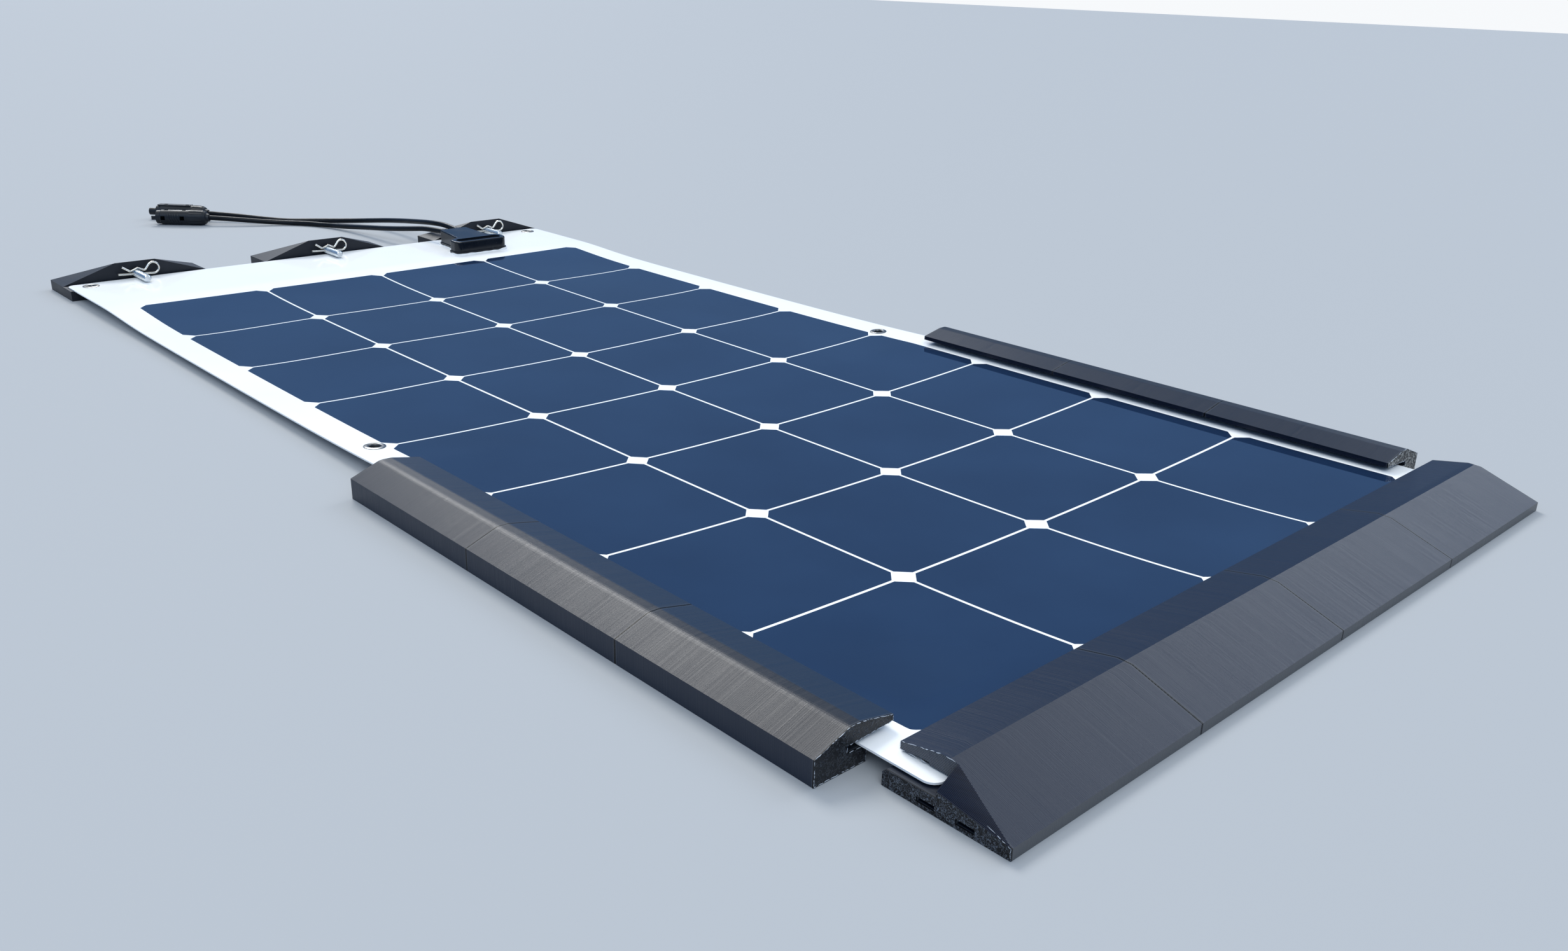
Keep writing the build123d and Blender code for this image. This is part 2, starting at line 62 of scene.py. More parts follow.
def mm(*values):
    """A vector given in millimetres."""
    return Vector([value * MM for value in values])


def box_size(node):
    """The low corner, the high corner and the size of a CAD node's box."""
    low, high = (Vector(corner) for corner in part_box(node))
    return low, high, high - low


def make_object(name, mesh, material, smooth_angle=None):
    """An object from a finished mesh, shaded smooth below an angle between faces."""
    piece = bpy.data.objects.new(name, mesh)
    bpy.context.scene.collection.objects.link(piece)
    mesh.materials.clear()
    mesh.materials.append(material)
    if smooth_angle is not None:
        mesh.polygons.foreach_set("use_smooth", [True] * len(mesh.polygons))
        mesh.set_sharp_from_angle(angle=math.radians(smooth_angle))
    return piece


def mesh_from(bm, name):
    """A mesh from a bmesh, which is freed."""
    bmesh.ops.recalc_face_normals(bm, faces=bm.faces)
    mesh = bpy.data.meshes.new(name)
    bm.to_mesh(mesh)
    bm.free()
    return mesh


def ring_mesh(name, rings, closed_ends=True):
    """A mesh skinned over rings that all have the same number of points."""
    bm = bmesh.new()
    rows = [[bm.verts.new(point) for point in ring] for ring in rings]
    for lower, upper in zip(rows, rows[1:]):
        count = len(lower)
        for i in range(count):
            j = (i + 1) % count
            bm.faces.new((lower[i], lower[j], upper[j], upper[i]))
    if closed_ends:
        bm.faces.new(list(reversed(rows[0])))
        bm.faces.new(rows[-1])
    return mesh_from(bm, name)


def subtract(piece, cutter):
    """Cuts one object out of another and removes the cutter."""
    modifier = piece.modifiers.new("cut", "BOOLEAN")
    modifier.operation = "DIFFERENCE"
    modifier.solver = "EXACT"
    modifier.object = cutter
    graph = bpy.context.evaluated_depsgraph_get()
    cut = bpy.data.meshes.new_from_object(piece.evaluated_get(graph))
    piece.modifiers.remove(modifier)
    piece.data = cut
    bpy.data.objects.remove(cutter)


def cylinder(name, start, end, radius, segments=32):
    """A closed cylinder between two points."""
    axis = (end - start).normalized()
    turn = axis.to_track_quat("Z", "Y").to_matrix()
    rings = []
    for centre in (start, end):
        ring = []
        for i in range(segments):
            angle = 2 * math.pi * i / segments
            ring.append(centre + turn @ Vector((radius * math.cos(angle), radius * math.sin(angle), 0)))
        rings.append(ring)
    return ring_mesh(name, rings)


def tube_mesh(bm, points, radius, sides=8):
    """Adds a closed round tube along a few points to a bmesh."""
    rows = []
    for i, point in enumerate(points):
        ahead = points[min(i + 1, len(points) - 1)] - points[max(i - 1, 0)]
        turn = ahead.normalized().to_track_quat("Z", "Y").to_matrix()
        scale = 0.45 if i in (0, len(points) - 1) else 1.0
        row = []
        for k in range(sides):
            angle = 2 * math.pi * k / sides
            spoke = Vector((math.cos(angle), math.sin(angle), 0)) * radius * scale
            row.append(bm.verts.new(point + turn @ spoke))
        rows.append(row)
    for lower, upper in zip(rows, rows[1:]):
        for k in range(sides):
            j = (k + 1) % sides
            bm.faces.new((lower[k], lower[j], upper[j], upper[k]))
    bm.faces.new(list(reversed(rows[0])))
    bm.faces.new(rows[-1])


def finish_piece(piece, slot, body, *nodes):
    """Hides the nodes that a new piece stands for and hangs it on the body that it rides on; the slot
    is not used.
    """
    if nodes:
        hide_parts(*nodes)
    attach(piece, body)


# ------------------------------------------------------------------ materials


class Shader:
    """A node material with a principled shader and a few ways to build on it."""

    def __init__(self, name, base, roughness, metallic=0.0, **uniform):
        """Starts from flat values; each extra value goes to the shader socket of its name."""
        self.material = bpy.data.materials.new(name)
        self.material.use_nodes = True
        self.nodes = self.material.node_tree.nodes
        self.links = self.material.node_tree.links
        self.shader = self.nodes["Principled BSDF"]
        self.shader.inputs["Base Color"].default_value = (*base, 1)
        self.shader.inputs["Roughness"].default_value = roughness
        self.shader.inputs["Metallic"].default_value = metallic
        for socket, value in uniform.items():
            self.shader.inputs[socket.replace("_", " ")].default_value = value
        self.place = self.nodes.new("ShaderNodeTexCoord").outputs["Object"]
        self.height = None

    def crisp(self):
        """Shades every facet flat, so that creases stay sharp."""
        self.height = self.nodes.new("ShaderNodeNewGeometry").outputs["True Normal"]
        self.links.new(self.height, self.shader.inputs["Normal"])

    def pick(self, factor, first, second):
        """A vector: the first where the factor is 0, the second where it is 1."""
        mix = self.node("Mix", data_type="VECTOR")
        sockets = [socket for socket in mix.inputs if socket.type == "VECTOR" and socket.name in "AB"]
        self.links.new(factor, mix.inputs["Factor"])
        for socket, value in zip(sockets, (first, second)):
            if isinstance(value, tuple):
                socket.default_value = value
            else:
                self.links.new(value, socket)
        return [socket for socket in mix.outputs if socket.type == "VECTOR"][0]

    def one_ridge(self, axis, place, normals, ridge_height):
        """Shades a narrow flat crown as if its two neighbours met in one ridge along its middle."""
        where = self.split(self.place)
        flat = self.math("GREATER_THAN", self.split(self.height)["Z"], 0.99)
        high = self.math("GREATER_THAN", where["Z"], ridge_height)
        beyond = self.math("GREATER_THAN", where[axis], place)
        leaning = self.pick(beyond, *normals)
        self.height = self.pick(self.math("MULTIPLY", flat, high), self.height, leaning)
        self.links.new(self.height, self.shader.inputs["Normal"])

    def split(self, vector):
        """The three components of a vector."""
        new = self.nodes.new("ShaderNodeSeparateXYZ")
        self.links.new(vector, new.inputs[0])
        return new.outputs

    def node(self, kind, **values):
        """A new node, whose sockets and settings get the values given by name."""
        new = self.nodes.new("ShaderNode" + kind)
        for key, value in values.items():
            if key in new.inputs:
                new.inputs[key].default_value = value
            else:
                setattr(new, key, value)
        return new

    def stretched(self, scale):
        """The object's own place, scaled along each axis."""
        mapping = self.node("Mapping")
        mapping.inputs["Scale"].default_value = scale
        self.links.new(self.place, mapping.inputs["Vector"])
        return mapping.outputs["Vector"]

    def noise(self, scale, detail=4.0, roughness=0.55, distortion=0.0, stretch=None):
        """A noise over the object's own place, which may be stretched along each axis."""
        texture = self.node(
            "TexNoise", Scale=scale, Detail=detail, Roughness=roughness, Distortion=distortion,
        )
        source = self.place if stretch is None else self.stretched(stretch)
        self.links.new(source, texture.inputs["Vector"])
        return texture.outputs["Fac"]

    def math(self, operation, a, b=None, clamp=False):
        """A sum, product or other operation on numbers or on outputs of nodes."""
        new = self.node("Math", operation=operation, use_clamp=clamp)
        for socket, value in zip(new.inputs, (a, b)):
            if value is None:
                continue
            if isinstance(value, (int, float)):
                socket.default_value = value
            else:
                self.links.new(value, socket)
        return new.outputs[0]

    def between(self, source, low, high, to_low=0.0, to_high=1.0):
        """Maps one range of a source to another, and holds it within that."""
        new = self.node("MapRange", clamp=True)
        keys = ("From Min", "From Max", "To Min", "To Max")
        for key, value in zip(keys, (low, high, to_low, to_high)):
            new.inputs[key].default_value = value
        self.links.new(source, new.inputs["Value"])
        return new.outputs["Result"]

    def tint(self, source, first, second, low=0.3, high=0.7):
        """Colours the surface between two colours by a texture, over what it had before."""
        ramp = self.node("ValToRGB")
        ramp.color_ramp.elements[0].position = low
        ramp.color_ramp.elements[0].color = (*first, 1)
        ramp.color_ramp.elements[1].position = high
        ramp.color_ramp.elements[1].color = (*second, 1)
        self.links.new(source, ramp.inputs["Fac"])
        self.links.new(ramp.outputs["Color"], self.shader.inputs["Base Color"])
        return ramp.outputs["Color"]

    def overlay(self, colour, source, patch):
        """Lays a patch of another colour over a colour, where a texture is high."""
        mix = self.node("Mix", data_type="RGBA")
        self.links.new(source, mix.inputs["Factor"])
        self.links.new(colour, mix.inputs["A"])
        mix.inputs["B"].default_value = (*patch, 1)
        self.links.new(mix.outputs["Result"], self.shader.inputs["Base Color"])
        return mix.outputs["Result"]

    def rough(self, source, low, high):
        """Lets the roughness follow a texture."""
        self.links.new(self.between(source, 0.3, 0.7, low, high), self.shader.inputs["Roughness"])

    def bump(self, source, distance, strength=1.0):
        """Adds relief of a real depth to what is there already."""
        new = self.node("Bump", Distance=distance, Strength=strength)
        self.links.new(source, new.inputs["Height"])
        if self.height is not None:
            self.links.new(self.height, new.inputs["Normal"])
        self.height = new.outputs["Normal"]
        self.links.new(self.height, self.shader.inputs["Normal"])


def add_painted_reflections(look, colour, facing, painted_reflections):
    """Paints the sky's and the roof's reflections into the colour of the facets that face a given way:
    painted reflection and painted light.
    """
    for axis, sign, least, reflection_colour in painted_reflections:
        leaning = look.math("GREATER_THAN", look.math("MULTIPLY", facing[axis], sign), least)
        colour = look.overlay(colour, look.math("MULTIPLY", leaning, PAINTED_REFLECTION_STRENGTH), reflection_colour)
    return colour


def add_seams(look, colour, along, first_joint):
    """Ends each printed length in a dark seam, painted shade in the gap, with a paler lip, a painted
    highlight on its edge.
    """
    lengths = look.math("DIVIDE", look.math("SUBTRACT", along, first_joint), PRINT_LENGTH)
    nearest = look.math("MULTIPLY", look.math("PINGPONG", lengths, 0.5), PRINT_LENGTH)
    # Painted highlight on the edge beside each seam
    lip = look.between(nearest, 1.2 * MM, 1.6 * MM, 0.25, 0.0)
    colour = look.overlay(colour, lip, (0.11, 0.12, 0.135))
    # Painted shade in the gap between two printed lengths
    gap_shade = look.between(nearest, 0.7 * MM, 0.9 * MM, 0.95, 0.0)
    return look.overlay(colour, gap_shade, (0.001, 0.001, 0.002))


def hatched_over(look, place, thread):
    """Replaces the infill's threads by slanting strokes in the upper part of a cut end."""
    diagonal = look.math("SUBTRACT", place["Y"], place["Z"])
    wobble = look.math("MULTIPLY", look.noise(160.0, 2.0), 2.4)
    wave = look.math("SINE", look.math("ADD", look.math("MULTIPLY", diagonal, 5200.0), wobble))
    upper = look.between(place["Z"], 10.8 * MM, 11.2 * MM)
    stroke = look.math("MULTIPLY", look.between(wave, 0.1, 0.9), upper)
    lower_thread = look.math("MULTIPLY", thread, look.math("SUBTRACT", 1.0, upper))
    return look.math("MAXIMUM", lower_thread, stroke)


def printed(
    name, layers, first_joint, worms, worm_scale=430.0, worm_colour=(0.20, 0.225, 0.265),
    hatched=False, crown=None, painted_reflections=(),
):
    """Printed plastic whose layers are stacked along one axis: fine lines, streaks and rough ends."""
    look = Shader(name, (0.015, 0.017, 0.022), 0.38, Specular_IOR_Level=0.28)
    look.crisp()
    if crown:
        look.one_ridge(*crown)
    fine = [8.0, 8.0, 8.0]
    fine[layers] = 2600.0
    broad = [5.0, 5.0, 5.0]
    broad[layers] = 700.0
    streak = look.noise(1.0, 2.0, 0.6, stretch=fine)
    band = look.noise(1.0, 3.0, 0.6, stretch=broad)
    grain = look.noise(1400.0, 3.0, 0.6)
    blend = look.math("ADD", look.math("MULTIPLY", streak, 0.45), look.math("MULTIPLY", band, 0.55))
    colour = look.tint(blend, (0.009, 0.011, 0.016), (0.021, 0.023, 0.029), 0.3, 0.7)
    speck = look.between(grain, 0.66, 0.74)
    colour = look.overlay(colour, look.math("MULTIPLY", speck, 0.3), (0.14, 0.14, 0.15))
    look.rough(band, 0.32, 0.42)
    facing = look.split(look.height)
    place = look.split(look.place)
    # Painted reflection: facets that face given ways take the colour of the sky or the roof that they
    # mirror
    colour = add_painted_reflections(look, colour, facing, painted_reflections)
    colour = add_seams(look, colour, place[layers], first_joint)
    look.bump(streak, 0.12 * MM, 0.7)
    look.bump(grain, 0.06 * MM, 0.5)

    # The cut ends show the worm-like infill under the last layer, and a hatched skin higher up
    end = look.math("GREATER_THAN", look.math("ABSOLUTE", facing[layers]), 0.97)
    ridge = look.math("ABSOLUTE", look.math("SUBTRACT", look.noise(worm_scale, 1.0, 0.4, 1.6), 0.5))
    thread = look.between(ridge, 0.0, 0.075, 1.0, 0.0)
    if hatched:
        thread = hatched_over(look, place, thread)
    thread = look.math("MULTIPLY", thread, end)
    look.overlay(colour, look.math("MULTIPLY", thread, worms), worm_colour)
    look.bump(thread, 0.4 * MM, 0.9)
    return look.material


def flat_printed(name):
    """Printed plastic with level layers, as on the brackets."""
    look = Shader(name, (0.010, 0.012, 0.016), 0.45, Specular_IOR_Level=0.3)
    look.crisp()
    streak = look.noise(1.0, 2.0, 0.6, stretch=(5.0, 5.0, 2800.0))
    broad = look.noise(26.0, 3.0)
    look.tint(broad, (0.007, 0.009, 0.013), (0.016, 0.018, 0.024))
    look.rough(broad, 0.38, 0.5)
    look.bump(streak, 0.1 * MM, 0.6)
    return look.material


def sky_reflection_stair():
    """The hip's stair of layers: painted deep blue-black, a painted reflection of the sky, in paler and
    darker bands along its layers.
    """
    look = Shader("hip_plastic_sky_reflection", (0.004, 0.009, 0.02), 0.3, Specular_IOR_Level=0.3)
    look.crisp()
    streak = look.noise(1.0, 2.0, 0.6, stretch=(9.0, 9.0, 900.0))
    # Painted reflection: both colours are the sky's deep blue as the hip's facets mirror it
    look.tint(streak, (0.001, 0.005, 0.020), (0.003, 0.012, 0.036))
    look.rough(streak, 0.26, 0.4)
    look.bump(look.noise(1300.0, 3.0), 0.05 * MM, 0.5)
    return look.material


def laminate_white():
    """The white of the laminate under its clear film, with faint smudges and waves."""
    look = Shader(
        "white_film", (0.94, 0.935, 0.92), 0.5,
        Specular_IOR_Level=0.0, Coat_Weight=0.8, Coat_Roughness=0.09, Coat_IOR=1.42,
    )
    smudge = look.noise(9.0, 5.0, 0.6)
    look.tint(smudge, (0.91, 0.907, 0.89), (0.96, 0.955, 0.94), 0.25, 0.75)
    look.rough(look.noise(30.0, 4.0), 0.4, 0.6)
    look.bump(look.noise(14.0, 2.0), 0.6 * MM, 0.25)
    look.links.new(look.height, look.shader.inputs["Coat Normal"])
    return look.material


def silicon():
    """Dark blue cells: all their gloss is the film over them."""
    look = Shader(
        "silicon", (0.009, 0.022, 0.056), 0.5,
        Specular_IOR_Level=0.0, Coat_Weight=1.0, Coat_Roughness=0.05, Coat_IOR=1.42,
    )
    cloud = look.noise(7.0, 4.0, 0.55)
    look.tint(cloud, (0.008, 0.020, 0.052), (0.012, 0.029, 0.070), 0.3, 0.7)
    look.rough(look.noise(22.0, 4.0), 0.4, 0.6)
    look.bump(look.noise(11.0, 2.0), 0.6 * MM, 0.2)
    look.links.new(look.height, look.shader.inputs["Coat Normal"])
    return look.material


def metal(name, base, roughness, grain=600.0, patina=0.12):
    """Bare or plated metal with a cloudy patina and a fine grain."""
    look = Shader(name, base, roughness, metallic=1.0)
    cloud = look.noise(140.0, 5.0, 0.6)
    dark = tuple(channel * (1 - patina * 2.2) for channel in base)
    look.tint(cloud, dark, base, 0.32, 0.62)
    look.rough(cloud, roughness + 0.12, roughness - 0.05)
    look.bump(look.noise(grain, 2.0), 0.03 * MM, 0.5)
    return look.material


def gloss_black():
    """Glossy black moulding with a little dust."""
    look = Shader("box_plastic", (0.004, 0.005, 0.008), 0.12, Specular_IOR_Level=0.3)
    dust = look.noise(300.0, 5.0, 0.65)
    colour = look.tint(look.noise(20.0, 3.0), (0.003, 0.004, 0.006), (0.008, 0.010, 0.014))
    look.overlay(colour, look.between(dust, 0.62, 0.72, 0.0, 0.12), (0.25, 0.25, 0.26))
    look.rough(look.noise(45.0, 4.0), 0.08, 0.22)
    look.bump(look.noise(70.0, 2.0), 0.2 * MM, 0.12)
    return look.material


def moulded(name, base, roughness, grain=1500.0, level=0.5):
    """Moulded plastic or rubber with a fine grain."""
    look = Shader(name, base, roughness, Specular_IOR_Level=level)
    light = tuple(channel * 1.7 + 0.002 for channel in base)
    look.tint(look.noise(60.0, 4.0), base, light)
    look.rough(look.noise(35.0, 3.0), roughness - 0.06, roughness + 0.1)
    look.bump(look.noise(grain, 3.0), 0.04 * MM, 0.5)
    return look.material


def bead():
    """White sealant, laid and smoothed by hand."""
    look = Shader("sealant", (0.88, 0.87, 0.84), 0.5, Specular_IOR_Level=0.3)
    look.tint(look.noise(60.0, 4.0), (0.80, 0.79, 0.76), (0.90, 0.89, 0.865))
    look.rough(look.noise(80.0, 3.0), 0.4, 0.6)
    look.bump(look.noise(240.0, 4.0), 0.3 * MM, 0.5)
    return look.material


def clear():
    """Clear film."""
    look = Shader("clear_film", (0.93, 0.94, 0.95), 0.1)
    look.shader.inputs["Alpha"].default_value = 0.25
    look.rough(look.noise(30.0), 0.06, 0.16)
    return look.material


PRINT_LENGTH = 145 * MM
NEAR_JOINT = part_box("near_rail_2")[0][0]
SIDE_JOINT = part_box("left_rail_2")[0][1]
# How strongly the painted reflections cover the plastic's own colour
PAINTED_REFLECTION_STRENGTH = 0.8
# The near rail's ridge: its place across the rail, the normals of its two sides, and its height
NEAR_CROWN = ("Y", -583.3 * MM, ((0.0, -0.333, 0.943), (0.0, 0.196, 0.981)), 19.5 * MM)

# A painted reflection is an axis, the way along it, how squarely a facet has to face that way, and a
# colour: the painted reflection of the sky or the roof
MATERIALS = {
    "near_rail": printed(
        "near_rail_plastic", 0, NEAR_JOINT, 0.8, 500.0, hatched=True, crown=NEAR_CROWN,
        painted_reflections=(
            # Painted reflections: navy where facets mirror the sky, lighter on the front face that the
            # roof lights
            ("Y", 1, 0.1, (0.004, 0.011, 0.030)), ("Z", 1, 0.99, (0.004, 0.008, 0.018)),
            ("Y", -1, 0.3, (0.014, 0.020, 0.038)), ("Y", -1, 0.97, (0.115, 0.115, 0.115)),
            ("X", -1, 0.97, (0.007, 0.014, 0.030)),
        ),
    ),
    "left_rail": printed(
        "left_rail_plastic", 1, SIDE_JOINT, 0.25,
        painted_reflections=(
            # Painted reflections: navy on the inner slope, pale on the near end that the roof lights
            ("X", 1, 0.1, (0.012, 0.026, 0.052)), ("X", -1, 0.1, (0.010, 0.012, 0.020)),
            ("X", -1, 0.97, (0.014, 0.022, 0.040)), ("Y", -1, 0.97, (0.27, 0.29, 0.32)),
        ),
    ),
    "right_rail": printed(
        "right_rail_plastic", 1, SIDE_JOINT, 1.0, 230.0, (0.55, 0.53, 0.48),
        # Painted reflections: navy on the inner slope, lighter on the near end that the roof lights
        painted_reflections=(("X", -1, 0.1, (0.0005, 0.004, 0.016)), ("Y", -1, 0.97, (0.15, 0.155, 0.16))),
    ),
    "hip": sky_reflection_stair(),
    # Real stringing, whose pale colour is a painted highlight of the bright rims
    "stringing_rim_highlight": moulded("stringing_rim_highlight", (0.30, 0.32, 0.35), 0.35),
    "bracket": flat_printed("bracket_plastic"),
    "zinc_steel": metal("zinc_steel", (0.70, 0.73, 0.74), 0.22),
    "clip_wire": metal("clip_wire", (0.80, 0.76, 0.68), 0.24, 900.0, 0.06),
    "eyelet_metal": metal("eyelet_metal", (0.24, 0.24, 0.235), 0.3, 700.0, 0.25),
    "backsheet_film": laminate_white(),
    "silicon_cell": silicon(),
    "tinned_copper": metal("tinned_copper", (0.72, 0.71, 0.68), 0.3, 500.0),
    "box_plastic": gloss_black(),
    "sealant": bead(),
    "terminal_metal": metal("terminal_metal", (0.72, 0.58, 0.32), 0.28),
    "diode_epoxy": moulded("diode_epoxy", (0.02, 0.02, 0.022), 0.5),
    "gland_rubber": moulded("gland_rubber", (0.005, 0.006, 0.008), 0.45, level=0.4),
    "cable_jacket": moulded("cable_jacket", (0.003, 0.004, 0.006), 0.33, 900.0, level=0.16),
    "seal_rubber": moulded("seal_rubber", (0.03, 0.03, 0.032), 0.6),
    "connector_plastic": moulded("connector_plastic", (0.006, 0.008, 0.011), 0.4, level=0.3),
    "shadow": moulded("shadow", (0.0006, 0.0008, 0.001), 0.9, level=0.0),
    "clear_film": clear(),
}
MATERIALS["white_encapsulant"] = MATERIALS["backsheet_film"]

for entry in frame["record"]["subparts"]:
    node = entry["node"]
    if "_rail_" in node:
        finish = node.split("_")[0] + "_rail"
    elif node.startswith("bracket"):
        finish = "bracket"
    else:
        finish = entry["material_slot"]
    mesh = frame["nodes"][node].data
    mesh.materials.clear()
    mesh.materials.append(MATERIALS[finish])

# ------------------------------------------------------------------ camera, floor and light
CAMERA_PLACE = mm(-657.3, -882.0, 333.1)
CAMERA_AZIMUTH = 43.6
CAMERA_DOWN = 20.99
CAMERA_ROLL = 1.608
CAMERA_LENS = 30.33
FLOOR_HALF_SIZE = 12
FLOOR_DROP = 0.2 * MM
# The sky's colour at each height above the horizon, as the sine of the height
SKY = (
    (0.0, (0.02, 0.08, 0.21)), (0.2, (0.13, 0.24, 0.44)), (0.42, (0.16, 0.31, 0.60)),
    (0.58, (0.23, 0.41, 0.70)), (0.76, (0.80, 0.88, 0.96)), (1.0, (0.94, 0.97, 1.0)),
)


def add_camera():
    """The camera that was solved on the grid of cells."""
    data = bpy.data.cameras.new("camera")
    data.lens = CAMERA_LENS
    data.sensor_width = 36
    data.clip_end = 50
    camera = bpy.data.objects.new("camera", data)
    bpy.context.scene.collection.objects.link(camera)
    turn = (
        Matrix.Rotation(math.radians(-CAMERA_AZIMUTH), 4, "Z")
        @ Matrix.Rotation(math.radians(90 - CAMERA_DOWN), 4, "X")
        @ Matrix.Rotation(math.radians(CAMERA_ROLL), 4, "Z")
    )
    camera.matrix_world = Matrix.Translation(CAMERA_PLACE) @ turn
    bpy.context.scene.camera = camera


def add_floor():
    """A plain floor in place of the roof, just below the part."""
    bm = bmesh.new()
    bmesh.ops.create_grid(bm, x_segments=1, y_segments=1, size=FLOOR_HALF_SIZE)
    floor_look = Shader("floor", (0.40, 0.41, 0.42), 0.8, Specular_IOR_Level=0.15)
    floor = make_object("floor", mesh_from(bm, "floor"), floor_look.material)
    floor.location.z = -FLOOR_DROP


def add_light(name, source, spread, strength, colour):
    """A soft distant light that comes from a direction."""
    data = bpy.data.lights.new(name, "SUN")
    data.angle = math.radians(spread)
    data.energy = strength
    data.color = colour
    light = bpy.data.objects.new(name, data)
    bpy.context.scene.collection.objects.link(light)
    light.location = source
    light.rotation_euler = (-Vector(source)).to_track_quat("-Z", "Y").to_euler()


def add_world():
    """A pale backdrop, and for the light a sky that is deep blue near the horizon."""
    world = bpy.data.worlds.new("world")
    bpy.context.scene.world = world
    world.use_nodes = True
    nodes, links = world.node_tree.nodes, world.node_tree.links
    sky = nodes["Background"]
    split = nodes.new("ShaderNodeSeparateXYZ")
    links.new(nodes.new("ShaderNodeTexCoord").outputs["Generated"], split.inputs[0])
    ramp = nodes.new("ShaderNodeValToRGB")
    links.new(split.outputs["Z"], ramp.inputs["Fac"])
    links.new(ramp.outputs["Color"], sky.inputs["Color"])
    heights = ramp.color_ramp.elements
    heights[0].position, heights[0].color = 0.0, (*SKY[0][1], 1)
    heights[1].position, heights[1].color = 1.0, (*SKY[-1][1], 1)
    for position, colour in SKY[1:-1]:
        heights.new(position).color = (*colour, 1)
    backdrop = nodes.new("ShaderNodeBackground")
    backdrop.inputs["Color"].default_value = (0.93, 0.95, 0.97, 1)
    path = nodes.new("ShaderNodeLightPath")
    mix = nodes.new("ShaderNodeMixShader")
    links.new(path.outputs["Is Camera Ray"], mix.inputs["Fac"])
    links.new(sky.outputs[0], mix.inputs[1])
    links.new(backdrop.outputs[0], mix.inputs[2])
    links.new(mix.outputs[0], nodes["World Output"].inputs["Surface"])


bpy.context.scene.view_settings.view_transform = "Standard"
add_camera()
add_floor()
add_world()
add_light("key", (0.7, 1.95, 1.85), 24, 1.85, (1.0, 0.99, 0.96))
add_light("side", (2.2, 0.1, 1.45), 28, 0.55, (0.90, 0.95, 1.0))
add_light("fill", (-1.4, -2.0, 2.4), 40, 1.15, (0.80, 0.90, 1.0))

# ------------------------------------------------------------------ leads
CABLE_DIAMETER = 6.2 * MM
LEFT_LEAD = (
    (139.5, 567.25, 24.3), (134, 592, 25), (124.5, 622, 21), (117, 665, 15.5), (112, 714, 10),
    (105.5, 757, 5.2), (94, 793, 3.2), (78, 819, 3.1), (60, 836.5, 3.15), (36, 851, 5),
    (7, 870, 8), (-18, 891.25, 9.6),
)
RIGHT_LEAD = (
    (158.5, 567.25, 24.3), (157, 590, 27.3), (152.3, 621, 26), (153.4, 658, 21.6),
    (154.6, 698, 16.6), (150, 740, 11.4), (139, 781, 6), (121.5, 811, 3.3), (95, 831.5, 3.1),
    (66.5, 847.5, 3.2), (42, 871.5, 5.4), (17.5, 898, 8), (-7, 923.25, 9.6),
)


def smooth_curve(name, route, radius, material):
    """A NURBS cord whose control points are the route's points."""
    data = bpy.data.curves.new(name, "CURVE")
    data.dimensions = "3D"
    data.bevel_depth = radius
    data.bevel_resolution = 6
    data.resolution_u = 10
    data.use_fill_caps = True
    spline = data.splines.new("NURBS")
    spline.points.add(len(route) - 1)
    for point, place in zip(spline.points, route):
        point.co = (*mm(*place), 1)
    spline.order_u = 3
    spline.use_endpoint_u = True
    data.materials.append(material)
    piece = bpy.data.objects.new(name, data)
    bpy.context.scene.collection.objects.link(piece)
    return piece


def add_lead(name, node, route):
    """A lead that takes the place of its solid and carries its connector."""
    piece = smooth_curve(name, route, CABLE_DIAMETER / 2, MATERIALS["cable_jacket"])
    finish_piece(piece, "cable_jacket", ROOT, node)


add_lead("lead_left", "cable_left", LEFT_LEAD)
add_lead("lead_right", "cable_right", RIGHT_LEAD)

# ------------------------------------------------------------------ laminate
SHEET_LOW, SHEET_HIGH, _ = box_size("backsheet")
SHEET_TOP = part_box("front_film")[1][2]
SHEET_CORNER = 7 * MM
SHEET_STEP = 7 * MM
SHEET_THICKNESS = 1.1 * MM
CELL_LOW, _, CELL_SPAN = box_size("solar_cells")
CELL_COLUMNS, CELL_ROWS = 4, 8
CELL_SIDE = 124.8 * MM
CELL_CORNER = 8.0 * MM
# How far the cells' faces stand above the film's top, and how far they reach below it
CELL_PROUD, CELL_DEPTH = 0.1 * MM, 0.2 * MM
# Between these lines the sheet is free to hang
HELD_NEAR, HELD_FAR, HELD_SIDE = -559.25 * MM, 480 * MM, 275 * MM
SAG_MOST = 8.5 * MM
# The bowl: its depth, how it rises to the near and far lines, and where it loses depth to the far end
BOWL_DEPTH, BOWL_NEAR_RISE, BOWL_FAR_RISE = 8.5 * MM, 87 * MM, 70 * MM
BOWL_FAR_LOSS, BOWL_LOSS_FROM, BOWL_LOSS_SPAN = 1.5 * MM, -174 * MM, 508 * MM
# The dip near the left near corner, and how far from the held lines it fades out
CORNER_DIP, CORNER_DEPTH, CORNER_SPREAD = (-235 * MM, -525 * MM), 2.6 * MM, 34 * MM
CORNER_SIDE, CORNER_SIDE_FADE = 263 * MM, 24 * MM
CORNER_NEAR, CORNER_NEAR_FADE = 4 * MM, 22 * MM
# The slack of the side edges beyond the rails
EDGE_FREE_FROM, EDGE_DEPTH = -95 * MM, 3.5 * MM
EDGE_RAIL_FADE, EDGE_BRACKET_FADE = 95 * MM, 75 * MM
EDGE_FROM, EDGE_SPAN = 100 * MM, 150 * MM


def eased(value):
    """A smooth step from 0 to 1."""
    value = max(0.0, min(1.0, value))
    return value * value * (3 - 2 * value)


